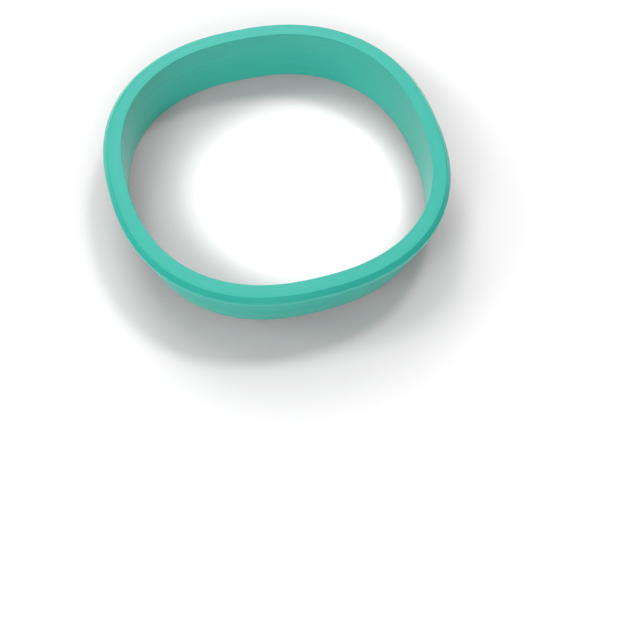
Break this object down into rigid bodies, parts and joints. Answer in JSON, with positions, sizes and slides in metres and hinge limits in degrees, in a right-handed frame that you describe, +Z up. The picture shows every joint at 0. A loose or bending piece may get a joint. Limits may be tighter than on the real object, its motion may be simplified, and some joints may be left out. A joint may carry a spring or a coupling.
{
  "type": "cookie cutter",
  "caption": "Rounded-square plastic cookie cutter: an open ring with a broad chamfered rim to press on and a thin wall that tapers to a cutting edge.",
  "frame": {"origin": "centre of the cut outline, on the plane of the cutting foot", "axes": "+Z up from the cutting foot to the pressing rim, +X to the right and +Y to the back, square to the outline's flatter sides"},
  "size_m": [0.114, 0.114, 0.021],
  "materials": {
    "printed_plastic": "satin teal"
  },
  "bodies": {
    "root": {"grip_rim": "printed_plastic", "cutter_wall": "printed_plastic", "cutting_edge": "printed_plastic"}
  },
  "joints": []
}
